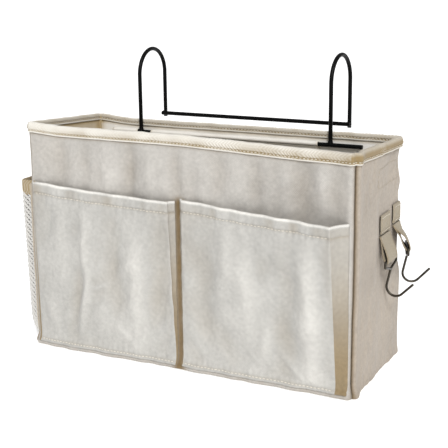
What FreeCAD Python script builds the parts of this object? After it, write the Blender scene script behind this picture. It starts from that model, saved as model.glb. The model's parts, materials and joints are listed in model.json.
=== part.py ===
# Canvas hanging caddy with a wire over-rail hanger, two bellows pockets on the front,
# a net pocket on the left side and two small hooks on webbing tabs on the right side.
# Millimetres. X to the right, Y to the back (the hanger's side), Z up.
# The origin is the centre of the base, on the plane that the caddy stands on.
import FreeCAD, Part
import math
import os

Vec = FreeCAD.Vector

# ---- driving dimensions -------------------------------------------------------------
bag_width = 350.0            # outside, along X
bag_depth = 135.0            # outside, along Y
bag_height = 230.0           # to the top of the rim binding
corner_radius = 15.0         # of the four upright corners, outside

canvas_thickness = 1.0       # outer cloth
wall_board_thickness = 1.5   # stiffener sewn into each wall
base_board_thickness = 2.5   # stiffener under the base lining
lining_thickness = 0.8
binding_thickness = 0.8      # folded twill tape round the rim
binding_height = 12.5

wire_clearance = 0.3         # round every wire that turns in cloth
hanger_wire_radius = 2.15
hook_centre_x = -8.0         # the hanger sits a little left of the bag's middle
hook_spacing = 222.0         # between the two rail hooks
hook_span = 54.0             # front leg to rear leg, centre to centre
hook_top = 300.0             # centre of the wire at the top of the arch
hook_tail = 4.0              # rear leg below the cross bar's centre
cross_bar_height = 226.0
foot_height = 212.0
foot_overhang = 34.0         # foot bar beyond each leg
weld_bead = 0.85             # how far each bead stands out round its wire
weld_edge = 0.17             # what is left of a foot weld's thickness at its top
weld_rise = 3.5              # height of the bead round the foot of each leg
bar_seat = 0.3               # depth that the cross bar is let into each rear leg
sleeve_end_gap = 13.0        # from each leg to the cloth sleeve between them
sleeve_thickness = 0.8
sleeve_tail = 14.0           # flap of the sleeve below the foot bar

pocket_cloth = 1.0
pocket_bottom = 6.0          # lower edge of the pocket cloth
pocket_seam_gap = 1.0        # room for the folded seam at the lower edge
front_pocket_top = 170.0
front_pocket_depth = {"left": 12.0, "right": 26.0}  # how far each open mouth stands out
centre_seam_x = -3.0         # where the two front pockets meet
centre_fold_inset = 7.0      # from the centre seam to each pocket's fold, at the mouth
side_seam_inset = 7.0        # from the bag's corner to the pocket's side seam
side_fold_inset = 6.0

net_thickness = 0.8
net_band_height = 16.0
net_band_thickness = 1.6
net_pocket_top = 175.0
net_pocket_depth = 17.0
net_knee_height = 24.0       # the lower part that swells out quickly
net_knee_depth = 11.0
net_seam_inset = 7.0         # from the bag's corner to each upright seam
net_fold_inset = 3.0

tab_width = 28.0
tab_webbing = 1.0
tab_sewn_height = 19.0
tab_positions = {"front": (20.5, 138.5), "rear": (52.0, 142.0)}  # centre Y, lower stitch Z
tab_tilt = {"front": 15.0, "rear": 25.0}                         # degrees away from the wall
tab_yaw = {"front": 0.0, "rear": 22.0}                           # the rear tab wraps the corner
loop_length = 25.0           # lower stitch to the hook's eye bar
side_wire_radius = 1.2
loop_room = 1.2              # round the eye bar

eye_overhang = 2.5           # of the eye bar beyond each side of the webbing, to the wire's centre
eye_drop = 10.0              # eye bar down to the eye's point
j_lean = 3.5                 # the shank leans towards the bag
j_shank = 16.0
j_bend_radius = 9.0
j_tip_angle = 45.0
j_tip_length = 15.0

# ---- what follows from them ---------------------------------------------------------
wall = canvas_thickness + wall_board_thickness + lining_thickness
floor_top = canvas_thickness + base_board_thickness + lining_thickness
wall_top = bag_height - binding_thickness
half_width = bag_width / 2
half_depth = bag_depth / 2
corner_x = half_width - corner_radius
corner_y = half_depth - corner_radius
back_lining_y = half_depth - wall
foot_y = back_lining_y - sleeve_thickness - wire_clearance - hanger_wire_radius
rear_leg_y = foot_y + hook_span
cross_bar_y = rear_leg_y - 2 * hanger_wire_radius + bar_seat
loop_bore = side_wire_radius + loop_room
leg_positions = {"left": hook_centre_x - hook_spacing / 2, "right": hook_centre_x + hook_spacing / 2}


# ---- shared shapes ------------------------------------------------------------------
def rounded_prism(offset, low, high):
    """The bag's plan outline, grown by offset, as an upright prism."""
    reach_x = half_width + offset
    reach_y = half_depth + offset
    radius = corner_radius + offset
    box = Part.makeBox(2 * reach_x, 2 * reach_y, high - low, Vec(-reach_x, -reach_y, low))
    corners = [edge for edge in box.Edges if abs(edge.tangentAt(edge.FirstParameter).z) > 0.9]
    return box.makeFillet(radius, corners)


def ring(outer_offset, inner_offset, low, high):
    """A band that follows the walls, between two offsets of the plan outline."""
    return rounded_prism(outer_offset, low, high).cut(rounded_prism(inner_offset, low, high))


def quarter(side):
    """The part of space that belongs to one wall, cut at 45 degrees through the corners."""
    reach = half_depth
    x, y = corner_x, corner_y
    outlines = {
        "front": [(-x, -y), (x, -y), (x + reach, -y - reach), (-x - reach, -y - reach)],
        "back": [(x, y), (-x, y), (-x - reach, y + reach), (x + reach, y + reach)],
        "left": [(-x, y), (-x, -y), (-x - reach, -y - reach), (-x - reach, y + reach)],
        "right": [(x, -y), (x, y), (x + reach, y + reach), (x + reach, -y - reach)],
    }
    points = [Vec(a, b, 0) for a, b in outlines[side]]
    face = Part.Face(Part.makePolygon(points + points[:1]))
    return face.extrude(Vec(0, 0, bag_height + reach))


def slab(bottom, top, low, high):
    """A straight-sided solid between two parallelograms at heights low and high."""
    wires = []
    for outline, height in ((bottom, low), (top, high)):
        points = [Vec(a, b, height) for a, b in outline]
        wires.append(Part.makePolygon(points + points[:1]))
    return Part.makeLoft(wires, True, True)


def rod(start, end, radius):
    """A straight round bar."""
    along = end.sub(start)
    return Part.makeCylinder(radius, along.Length, start, along)


def swept(edges, radius):
    """A round wire along tangent lines and arcs."""
    path = Part.Wire(edges)
    start = edges[0].valueAt(edges[0].FirstParameter)
    heading = edges[0].tangentAt(edges[0].FirstParameter)
    section = Part.Wire(Part.makeCircle(radius, start, heading))
    return path.makePipeShell([section], True, True)


def teardrop(top_radius, bottom_radius, length, width):
    """Two circles, one above the other, wrapped by a straight-sided band, along Y."""
    slope = math.asin((bottom_radius - top_radius) / length)
    across, up = math.cos(slope), math.sin(slope)
    top_right = Vec(top_radius * across, 0, top_radius * up)
    top_left = Vec(-top_radius * across, 0, top_radius * up)
    low_right = Vec(bottom_radius * across, 0, bottom_radius * up - length)
    low_left = Vec(-bottom_radius * across, 0, bottom_radius * up - length)
    edges = [
        Part.makeLine(top_right, low_right),
        Part.Arc(low_right, Vec(0, 0, -length - bottom_radius), low_left).toShape(),
        Part.makeLine(low_left, top_left),
        Part.Arc(top_left, Vec(0, 0, top_radius), top_right).toShape(),
    ]
    solid = Part.Face(Part.Wire(edges)).extrude(Vec(0, width, 0))
    solid.translate(Vec(0, -width / 2, 0))
    return solid


# ---- the bag's walls and base -------------------------------------------------------
def wall_parts():
    """Outer cloth, stiffener and lining of each wall."""
    parts = {}
    cloth = ring(0, -canvas_thickness, canvas_thickness, wall_top)
    lining = ring(lining_thickness - wall, -wall, floor_top, wall_top)
    for side in ("front", "back", "left", "right"):
        share = quarter(side)
        stem = side if side in ("front", "back") else side + "_side"
        parts[stem + "_panel"] = cloth.common(share)
        parts[stem + "_lining"] = lining.common(share)
    tall = wall_top - floor_top
    inside = canvas_thickness + wall_board_thickness
    long_board = Part.makeBox(2 * corner_x, wall_board_thickness, tall)
    short_board = Part.makeBox(wall_board_thickness, 2 * corner_y, tall)
    places = {
        "front_board": (long_board, -corner_x, canvas_thickness - half_depth),
        "back_board": (long_board, -corner_x, half_depth - inside),
        "left_side_board": (short_board, canvas_thickness - half_width, -corner_y),
        "right_side_board": (short_board, half_width - inside, -corner_y),
    }
    for name, (board, x, y) in places.items():
        parts[name] = board.copy()
        parts[name].translate(Vec(x, y, floor_top))
    return parts


def base_parts():
    """Base cloth, its stiffener and its lining, one above the other."""
    board_top = canvas_thickness + base_board_thickness
    return {
        "base_panel": rounded_prism(0, 0, canvas_thickness),
        "base_board": rounded_prism(-canvas_thickness, canvas_thickness, board_top),
        "base_lining": rounded_prism(-canvas_thickness, board_top, floor_top),
    }


def rim_binding():
    """Twill tape folded over the top edge of all four walls."""
    low = bag_height - binding_height
    tape = ring(binding_thickness, -wall - binding_thickness, low, bag_height)
    return tape.cut(ring(0, -wall, low, wall_top))


# ---- pockets ------------------------------------------------------------------------
def fold_at_lower_edge(seam, mouth_fold, depth):
    """Where a pleat meets the pocket's face at its lower edge, in line with the mouth's fold."""
    return seam + (mouth_fold - seam) * pocket_seam_gap / depth


def pleat(seam, levels, cloth):
    """A pocket's pleated end: from the seam on the wall out to the face's edge.

    levels lists (height, fold, depth) from the lower edge up; seam is at y = 0, and the
    cloth runs on inwards by a corner radius, to be trimmed to the rounded wall.
    """
    pieces = []
    for (low, near, near_depth), (high, far, far_depth) in zip(levels, levels[1:]):
        outlines = []
        for fold, depth in ((near, near_depth), (far, far_depth)):
            inward = math.copysign(cloth, fold - seam)
            edge = [(seam, 0), (seam, corner_radius), (seam + inward, corner_radius), (seam + inward, 0)]
            outlines.append(edge + [(fold + inward, -depth), (fold, -depth)])
        pieces.append(slab(outlines[0], outlines[1], low, high))
    if len(pieces) == 1:
        return pieces[0]
    return pieces[0].fuse(pieces[1:]).removeSplitter()


def pocket_face(left, right, depth, low, top, low_depth, cloth):
    """A pocket's outer cloth between two edges, leaning out towards the mouth."""
    bottom = [
        (left[0], -low_depth),
        (right[0], -low_depth),
        (right[0], -low_depth - cloth),
        (left[0], -low_depth - cloth),
    ]
    mouth = [(left[1], -depth), (right[1], -depth), (right[1], -depth - cloth), (left[1], -depth - cloth)]
    return slab(bottom, mouth, low, top)


def place_on_wall(parts, turn, distance):
    """Turn parts made against y = 0 onto a wall, and trim them to its rounded corners."""
    core = rounded_prism(0, 0, bag_height)
    placed = {}
    for name, part in parts.items():
        part.translate(Vec(0, -distance, 0))
        part.rotate(Vec(), Vec(0, 0, 1), turn)
        placed[name] = part.cut(core) if name.endswith("gusset") else part
    return placed


def front_pocket_parts():
    """Two bellows pockets side by side on the front wall."""
    parts = {}
    for side, way in (("left", -1), ("right", 1)):
        inner_seam = centre_seam_x + way * pocket_cloth
        outer_seam = way * (half_width - side_seam_inset)
        inner_fold = inner_seam + way * centre_fold_inset
        outer_fold = outer_seam - way * side_fold_inset
        depth = front_pocket_depth[side]
        inner = (fold_at_lower_edge(inner_seam, inner_fold, depth), inner_fold)
        outer = (fold_at_lower_edge(outer_seam, outer_fold, depth), outer_fold)
        left, right = sorted((inner, outer))
        parts[side + "_pocket_face"] = pocket_face(
            left, right, depth, pocket_bottom, front_pocket_top, pocket_seam_gap, pocket_cloth
        )
        for name, seam, edge in (("inner", inner_seam, inner), ("outer", outer_seam, outer)):
            lower = (pocket_bottom, edge[0], pocket_seam_gap)
            upper = (front_pocket_top, edge[1], depth)
            parts[side + "_pocket_" + name + "_gusset"] = pleat(seam, [lower, upper], pocket_cloth)
    return place_on_wall(parts, 0, half_depth)


def net_pocket_parts():
    """The net pocket on the left wall: net, mouth band and two cloth gussets."""
    seam = half_depth - net_seam_inset
    mouth = seam - net_fold_inset
    low_edge = fold_at_lower_edge(seam, mouth, net_pocket_depth)
    knee = pocket_bottom + net_knee_height
    band_low = net_pocket_top - net_band_height
    knee_edge = seam - net_fold_inset * net_knee_depth / net_pocket_depth
    share = (band_low - knee) / (net_pocket_top - knee)
    band_depth = net_knee_depth + (net_pocket_depth - net_knee_depth) * share
    band_edge = knee_edge + (mouth - knee_edge) * share
    swell = pocket_face(
        (-low_edge, -knee_edge), (low_edge, knee_edge), net_knee_depth, pocket_bottom, knee,
        pocket_seam_gap, net_thickness,
    )
    upper = pocket_face(
        (-knee_edge, -band_edge), (knee_edge, band_edge), band_depth, knee, band_low,
        net_knee_depth, net_thickness,
    )
    band = pocket_face(
        (-band_edge, -mouth), (band_edge, mouth), net_pocket_depth, band_low, net_pocket_top,
        band_depth, net_band_thickness,
    )
    parts = {"net_pocket_net": swell.fuse(upper).removeSplitter(), "net_pocket_band": band}
    for name, way in (("rear", -1), ("front", 1)):
        levels = [
            (pocket_bottom, way * low_edge, pocket_seam_gap),
            (knee, way * knee_edge, net_knee_depth),
            (net_pocket_top, way * mouth, net_pocket_depth),
        ]
        parts["net_pocket_" + name + "_gusset"] = pleat(way * seam, levels, net_thickness)
    return place_on_wall(parts, -90, half_width)


# ---- tabs and side hooks ------------------------------------------------------------
def tab_pivot(place):
    """Centre line of a webbing loop's top, just under its sewn part and clear of the rounded corner."""
    centre_y, stitch = tab_positions[place]
    yaw = math.radians(tab_yaw[place])
    reach = corner_radius + wire_clearance + tab_webbing - (centre_y - corner_y) * math.sin(yaw)
    return Vec(corner_x + reach / math.cos(yaw), centre_y, stitch - wire_clearance - tab_webbing)


def hang(shape, place, drop):
    """Move a shape made about the origin to a tab: drop mm down the tilted webbing, turned to face out."""
    tilt = math.radians(tab_tilt[place])
    shape.translate(Vec(drop * math.sin(tilt), 0, -drop * math.cos(tilt)))
    shape.rotate(Vec(), Vec(0, 0, 1), tab_yaw[place])
    shape.translate(tab_pivot(place))
    return shape


def tab_base(place):
    """Webbing folded double and sewn flat to the right wall."""
    centre_y, stitch = tab_positions[place]
    band = ring(2 * tab_webbing, 0, stitch, stitch + tab_sewn_height)
    reach = corner_radius + 3 * tab_webbing
    return band.common(Part.makeBox(reach, tab_width, bag_height, Vec(corner_x, centre_y - tab_width / 2, 0)))


def tab_loop(place):
    """The free loop of webbing that carries the hook."""
    closed_top = 3 * tab_webbing
    outside = teardrop(tab_webbing, loop_bore + tab_webbing, loop_length, tab_width)
    inside = teardrop(wire_clearance, loop_bore, loop_length - closed_top, tab_width + 2 * tab_webbing)
    inside.translate(Vec(0, 0, -closed_top))
    loop = outside.cut(inside)
    loop.rotate(Vec(), Vec(0, 1, 0), -tab_tilt[place])
    return hang(loop, place, 0)


def hook_eye():
    """Five-sided eye of wire in the YZ plane: bar at the top, two short sides, point below."""
    across = tab_width / 2 + eye_overhang
    shoulder = loop_bore + tab_webbing + side_wire_radius + 2 * wire_clearance
    corners = [
        Vec(0, -across, 0),
        Vec(0, across, 0),
        Vec(0, across, -shoulder),
        Vec(0, 0, -eye_drop),
        Vec(0, -across, -shoulder),
    ]
    pieces = []
    for start, end in zip(corners, corners[1:] + corners[:1]):
        pieces.append(rod(start, end, side_wire_radius))
        pieces.append(Part.makeSphere(side_wire_radius, end))
    return pieces[0].fuse(pieces[1:])


def hook_j():
    """The hook below the eye: leaning shank, round bend and straight tip, in the XZ plane."""
    start = Vec(0, 0, -eye_drop)
    bend_start = start + Vec(-j_lean, 0, -j_shank)
    first = math.atan2(-j_shank, -j_lean) + 2 * math.pi
    last = math.radians(j_tip_angle) + 2 * math.pi

    def on_bend(angle):
        across = math.sin(angle) - math.sin(first)
        up = math.cos(first) - math.cos(angle)
        return bend_start + Vec(j_bend_radius * across, 0, j_bend_radius * up)

    bend_end = on_bend(last)
    tip = bend_end + Vec(j_tip_length * math.cos(last), 0, j_tip_length * math.sin(last))
    edges = [
        Part.makeLine(start, bend_start),
        Part.Arc(bend_start, on_bend((first + last) / 2), bend_end).toShape(),
        Part.makeLine(bend_end, tip),
    ]
    return swept(edges, side_wire_radius).fuse(Part.makeSphere(side_wire_radius, tip))


def side_hook(place):
    return hang(hook_eye().fuse(hook_j()).removeSplitter(), place, loop_length)


def tab_parts():
    parts = {}
    for place in ("front", "rear"):
        parts[place + "_tab_base"] = tab_base(place)
        parts[place + "_tab_loop"] = tab_loop(place)
        parts[place + "_side_hook"] = side_hook(place)
    return parts


# ---- the over-rail hanger -----------------------------------------------------------
def rail_hook(x):
    """One wire arch: front leg inside the bag, round top, rear leg behind the rail."""
    radius = hook_span / 2
    spring_line = hook_top - radius
    foot = Vec(x, foot_y, foot_height)
    rise = Vec(x, foot_y, spring_line)
    crown = Vec(x, foot_y + radius, hook_top)
    fall = Vec(x, rear_leg_y, spring_line)
    end = Vec(x, rear_leg_y, cross_bar_height - hook_tail)
    edges = [Part.makeLine(foot, rise), Part.Arc(rise, crown, fall).toShape(), Part.makeLine(fall, end)]
    return swept(edges, hanger_wire_radius)


def long_bar(y, z, overhang):
    """A straight wire across both hooks, running past them by overhang."""
    start = Vec(leg_positions["left"] - overhang, y, z)
    end = Vec(leg_positions["right"] + overhang, y, z)
    return rod(start, end, hanger_wire_radius)


def hanger_parts():
    """Two rail hooks, the foot bar inside, the cross bar behind, and their weld beads."""
    foot_bar = long_bar(foot_y, foot_height, foot_overhang)
    cross_bar = long_bar(cross_bar_y, cross_bar_height, hanger_wire_radius)
    bead_radius = hanger_wire_radius + weld_bead
    parts = {"foot_bar": foot_bar, "cross_bar": cross_bar}
    for side, x in leg_positions.items():
        hook = rail_hook(x).cut([foot_bar, cross_bar])
        parts[side + "_rail_hook"] = hook
        foot = Vec(x, foot_y, foot_height + weld_bead)
        collar = Part.makeCone(bead_radius, hanger_wire_radius + weld_edge, weld_rise, foot)
        parts[side + "_foot_weld"] = collar.cut(foot_bar).cut(hook)
        joint = Vec(x, (rear_leg_y + cross_bar_y) / 2, cross_bar_height)
        bead = Part.makeSphere(bead_radius, joint, Vec(0, 1, 0))
        parts[side + "_bar_weld"] = bead.cut(cross_bar).cut(hook)
    return parts


def hanger_sleeve():
    """Cloth tube sewn to the back lining, which the foot bar turns in."""
    bore = hanger_wire_radius + wire_clearance
    left = leg_positions["left"] + sleeve_end_gap
    length = leg_positions["right"] - sleeve_end_gap - left
    end = Vec(left, foot_y, foot_height)
    outside = Part.makeCylinder(bore + sleeve_thickness, length, end, Vec(1, 0, 0))
    flap_corner = Vec(left, back_lining_y - sleeve_thickness, foot_height - sleeve_tail)
    flap = Part.makeBox(length, sleeve_thickness, sleeve_tail, flap_corner)
    hole = Part.makeCylinder(bore, length, end, Vec(1, 0, 0))
    return outside.fuse(flap).cut(hole).removeSplitter()


# ---- write every piece --------------------------------------------------------------
def all_parts():
    parts = {}
    parts.update(wall_parts())
    parts.update(base_parts())
    parts["rim_binding"] = rim_binding()
    parts.update(front_pocket_parts())
    parts.update(net_pocket_parts())
    parts.update(tab_parts())
    parts.update(hanger_parts())
    parts["hanger_sleeve"] = hanger_sleeve()
    return parts


os.makedirs("parts", exist_ok=True)
for name, shape in all_parts().items():
    shape.exportStep("parts/" + name + ".step")
    box = shape.BoundBox
    print(
        name, len(shape.Solids), shape.isValid(), round(shape.Volume, 1),
        [round(value, 1) for value in (box.XMin, box.XMax, box.YMin, box.YMax, box.ZMin, box.ZMax)],
    )
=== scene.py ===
import json
import math

import bpy
import numpy as np
from mathutils import Matrix, Vector


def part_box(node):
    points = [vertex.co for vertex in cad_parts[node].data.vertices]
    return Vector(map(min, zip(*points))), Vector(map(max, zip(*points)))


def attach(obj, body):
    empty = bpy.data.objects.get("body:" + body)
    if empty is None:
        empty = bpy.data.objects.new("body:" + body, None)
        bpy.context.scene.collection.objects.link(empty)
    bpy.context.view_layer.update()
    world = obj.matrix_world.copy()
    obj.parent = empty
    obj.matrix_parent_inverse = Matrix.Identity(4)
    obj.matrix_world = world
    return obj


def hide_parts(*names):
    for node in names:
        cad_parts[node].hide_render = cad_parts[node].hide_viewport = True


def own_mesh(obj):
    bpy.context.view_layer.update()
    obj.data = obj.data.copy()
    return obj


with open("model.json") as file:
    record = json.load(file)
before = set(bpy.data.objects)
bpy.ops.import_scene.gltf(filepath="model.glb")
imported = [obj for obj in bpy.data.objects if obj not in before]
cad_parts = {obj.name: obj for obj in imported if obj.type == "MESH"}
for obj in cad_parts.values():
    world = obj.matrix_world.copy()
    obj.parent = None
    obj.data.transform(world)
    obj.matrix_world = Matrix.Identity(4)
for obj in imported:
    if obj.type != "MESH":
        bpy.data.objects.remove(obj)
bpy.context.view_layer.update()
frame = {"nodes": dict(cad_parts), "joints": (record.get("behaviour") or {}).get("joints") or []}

mm = 0.001


def nodeBox(node):
    low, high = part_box(node)
    return np.array(low) / mm, np.array(high) / mm


camera = {
    "lens": 85.48,
    "sensor": 36.0,
    "azimuth": 27.11,      # degrees round from the front
    "elevation": 13.99,
    "roll": -0.62,
    "place": (0.48921, -0.9303, 0.39492),
}


def direction(azimuth, elevation):
    # Unit vector towards a place azimuth degrees round from the front and elevation degrees up.
    turn, lift = math.radians(azimuth), math.radians(elevation)
    return Vector((math.sin(turn) * math.cos(lift), -math.cos(turn) * math.cos(lift), math.sin(lift)))


def linkNew(name, data):
    obj = bpy.data.objects.new(name, data)
    bpy.context.scene.collection.objects.link(obj)
    return obj


def makeCamera(camera):
    turn, roll = math.radians(camera["azimuth"]), math.radians(camera["roll"])
    back = direction(camera["azimuth"], camera["elevation"])
    right = Vector((math.cos(turn), math.sin(turn), 0))
    up = back.cross(right)
    across = right * math.cos(roll) + up * math.sin(roll)
    upright = up * math.cos(roll) - right * math.sin(roll)
    data = bpy.data.cameras.new("camera")
    data.lens = camera["lens"]
    data.sensor_width = camera["sensor"]
    obj = linkNew("camera", data)
    turned = Matrix((across, upright, back)).transposed().to_4x4()
    obj.matrix_world = Matrix.Translation(camera["place"]) @ turned
    bpy.context.scene.camera = obj


makeCamera(camera)

bag = {
    "bulge": 2.6,          # the filled bag's short walls stand out this much
    "halfWidth": nodeBox("right_side_panel")[1][0],
    "halfDepth": nodeBox("back_panel")[1][1],
    "radius": 7.0,         # of the upright corners
    "canvas": 1.0,
    "board": 1.5,
    "lining": 0.8,
    "frontRim": 234.9,     # height of the bound rim along the left of the front
    "leftPeak": 2.2,       # more at the left corner
    "frontDip": 4.6,       # how far it sinks towards the right corner
    "dipFrom": (-20, 165),
    "backRim": 225.3,
    "peakAt": (-174, 24),  # place and width of the left peak, and of the back's
    "backPeakAt": (-176, 26),
    "foldStrength": 2.4,
    "hemRound": 1.9,       # softness of the lower edge
}
bag["halfWidth"] += bag["bulge"]
bag["cornerX"] = bag["halfWidth"] - bag["radius"]
bag["cornerY"] = bag["halfDepth"] - bag["radius"]
wall = bag["canvas"] + bag["board"] + bag["lining"]
outward = {"front": (0, -1), "right": (1, 0), "back": (0, 1), "left": (-1, 0)}


def smooth(start, end, x):
    # Climbs from 0 at start to 1 at end: t*t*(3-2t).
    t = np.clip((x - start) / (end - start), 0, 1)
    return t * t * (3 - 2 * t)


def hill(x, centre, width):
    # exp(-((x-centre)/width)^2).
    return np.exp(-(((x - centre) / width) ** 2))


def ripple(u, v, sizeU, sizeV, seed, waves=7):
    # Sum of sines of random slant and phase, scaled to about -1..1; sizeU and sizeV are the wave lengths.
    rng = np.random.default_rng(seed)
    total = 0 * (u + v)
    for _ in range(waves):
        slantU, slantV = rng.normal(0, 1, 2)
        turns = slantU * u / sizeU + slantV * v / sizeV
        total = total + np.sin(2 * np.pi * turns + rng.uniform(0, 6.3))
    return total / math.sqrt(waves) / 1.4


def ripplesOver(total, u, v, layers, seed):
    # total + the sum of strength * ripple, for layers of strength, size along u and v, and seed step.
    for strength, sizeU, sizeV, step in layers:
        total = total + strength * ripple(u, v, sizeU, sizeV, seed + step)
    return total


def crease(u, v, at, lean, length, width, rise):
    # A soft ridge: rise * exp(-(across/width)^2 - (along/length)^2), lean degrees from upright.
    a = math.radians(lean)
    along = (u - at[0]) * math.sin(a) + (v - at[1]) * math.cos(a)
    across = (u - at[0]) * math.cos(a) - (v - at[1]) * math.sin(a)
    return rise * np.exp(-((across / width) ** 2) - (along / length) ** 2)


def creases(u, v, folds):
    total = 0 * (u + v)
    for fold in folds:
        total = total + crease(u, v, *fold)
    return total


def softRamp(x, width):
    # width * ln(1 + exp(x/width)): zero far below 0, x far above.
    return width * np.logaddexp(0, x / width)


def outline(side, run):
    # Plan line of a side: straight for half its length each way, then an arc of the corner's radius.
    # Returns x, y and the outward normal's x, y.
    nx, ny = outward[side]
    tx, ty = -ny, nx
    facesY = side in ("front", "back")
    straight = bag["cornerX"] if facesY else bag["cornerY"]
    reach = bag["halfDepth"] if facesY else bag["halfWidth"]
    angle = np.sign(run) * np.clip(np.abs(run) - straight, 0, None) / bag["radius"]
    along = np.clip(run, -straight, straight) + bag["radius"] * np.sin(angle)
    out = reach - bag["radius"] * (1 - np.cos(angle))
    return (
        along * tx + out * nx,
        along * ty + out * ny,
        nx * np.cos(angle) + tx * np.sin(angle),
        ny * np.cos(angle) + ty * np.sin(angle),
    )


def halfRun(side):
    straight = bag["cornerX"] if side in ("front", "back") else bag["cornerY"]
    return straight + bag["radius"] * math.pi / 4


def rimHeight(x, y):
    # Height of the bound rim: the front line dips to the right, the back is level, straight between.
    front = bag["frontRim"] + bag["leftPeak"] * hill(x, *bag["peakAt"])
    front = front - bag["frontDip"] * smooth(*bag["dipFrom"], x)
    share = np.clip((y + bag["halfDepth"]) / (2 * bag["halfDepth"]), 0, 1)
    back = bag["backRim"] + bag["leftPeak"] * 1.4 * hill(x, *bag["backPeakAt"])
    return front * (1 - share) + back * share


wallFolds = {
    "front": [  # (along, height), lean, length, width, rise
        ((-138, 196), 2, 26, 8, -1.3),
        ((-105, 198), -4, 24, 7, -1.1),
        ((-56, 196), 3, 30, 7, -1.9),
        ((-80, 200), 0, 30, 9, 0.8),
        ((-4, 198), -3, 28, 8, -1.2),
        ((-30, 202), 4, 26, 9, 0.7),
        ((40, 196), 5, 26, 8, -1.1),
        ((78, 194), -2, 26, 9, -1.0),
        ((60, 200), 0, 24, 8, 0.6),
        ((128, 196), 3, 30, 10, -1.8),
        ((146, 200), 0, 30, 7, 0.9),
        ((-20, 186), 58, 16, 4.5, 0.6),
    ],
    "right": [
        ((40, 200), 0, 18, 26, -1.9),
        ((-44, 120), 3, 70, 9, 0.8),
        ((-20, 60), -8, 50, 14, 0.9),
        ((20, 90), 6, 60, 16, -0.8),
    ],
    "back": [
        ((-60, 110), 6, 70, 18, 1.2),
        ((50, 120), -5, 80, 20, 1.0),
        ((0, 60), 3, 60, 22, -1.0),
    ],
    "left": [
        ((50, 210), 0, 17, 18, 3.2),
        ((-20, 200), 0, 26, 20, -1.0),
        ((0, 80), 4, 60, 18, 0.3),
    ],
}
wallWaves = ((1, 70, 90, 0), (0.55, 32, 44, 10), (0.26, 15, 21, 20))
# the wall is pressed in round the sewn tabs, between these heights and behind this run
tabHold = {"depth": 2.9, "below": (88, 108), "above": (184, 168), "front": (-12, 5)}
cornerPinch = {  # corners that pinch in or stand out: height, spread, outward distance
    ("back", -1): (202, 20, -4.5), ("front", 1): (150, 160, 3.6),
    ("front", -1): (205, 26, -1.5), ("back", 1): (202, 22, -2.0),
}
# flare of the lower edge at each side's middle, and at the corners
flare = {"front": 6.0, "right": 2.2, "back": 1.5, "left": 2.2}
cornerFlare = {("front", 1): 5.0, ("front", -1): 4.6, ("back", 1): 1.5, ("back", -1): 1.5}
cornerSeam = {
    "depth": 2.4,          # of the groove where two walls are sewn together
    "width": 1.2,
    "puff": 0.7,           # the cloth swells beside the seam
    "puffAt": 3.2,
    "puffWidth": 1.6,
    "blend": 22.0,         # the walls' own shapes fade out this far from the corner
}
cornerName = {  # the corner that ends each side
    ("front", 1): ("front", 1), ("right", -1): ("front", 1),
    ("right", 1): ("back", -1), ("back", -1): ("back", -1),
    ("back", 1): ("back", 1), ("left", -1): ("back", 1),
    ("left", 1): ("front", -1), ("front", -1): ("front", -1),
}


def wallSwell(side, run, height):
    # How far the cloth stands proud of its plan line: folds, ripples and a flared lower edge,
    # which blend into the corner's own flare, less a groove at the corner seam.
    end = halfRun(side)
    seed = list(outward).index(side) + 3
    middle = bag["foldStrength"] * creases(run, height, wallFolds[side]) * smooth(226, 212, height)
    loose = 0.3 + 0.7 * smooth(228, 200, height)
    middle = middle + loose * ripplesOver(0, run, height, wallWaves, seed)
    low = hill(height, 0, 8.5)
    middle = middle + flare[side] * (1 + 0.10 * ripple(run, 0 * run, 60, 60, seed + 40)) * low
    # the sewn tabs hold the bulge down round them
    held = tabHold["depth"] * smooth(*tabHold["below"], height) * smooth(*tabHold["above"], height)
    if side == "right":
        middle = middle * (1 - 0.6 * held / tabHold["depth"]) - held * smooth(*tabHold["front"], run)
    corner = {}
    for sign in (-1, 1):
        key = cornerName[(side, sign)]
        number = sorted(cornerFlare).index(key)
        level, spread, push = cornerPinch[key]
        corner[sign] = cornerFlare[key] * low + 0.5 * ripple(height, 0 * height, 80, 80, 60 + number)
        corner[sign] = corner[sign] + push * hill(height, level, spread) - held * (key == ("back", -1))
    nearEnd = smooth(end - cornerSeam["blend"], end, np.abs(run))
    atCorner = np.where(run > 0, corner[1], corner[-1])
    away = end - np.abs(run)
    seam = cornerSeam["depth"] * hill(away, 0, cornerSeam["width"])
    puff = cornerSeam["puff"] * hill(away, cornerSeam["puffAt"], cornerSeam["puffWidth"])
    return middle * (1 - nearEnd) + atCorner * nearEnd - seam + puff


def wallPoint(side, run, height, offset):
    # A point on a side's cloth, offset millimetres outside it.
    x, y, nx, ny = outline(side, run)
    out = wallSwell(side, run, height) + offset
    return np.stack([x + nx * out, y + ny * out, height + 0 * run], -1)


def rimOver(side, run):
    x, y, _, _ = outline(side, run)
    return rimHeight(x, y)


def openIndex(rows, columns):
    return np.arange(rows * columns).reshape(rows, columns)


def quads(index):
    faces = np.stack([index[:-1, :-1], index[1:, :-1], index[1:, 1:], index[:-1, 1:]], -1)
    return faces.reshape(-1, 4)


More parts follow.
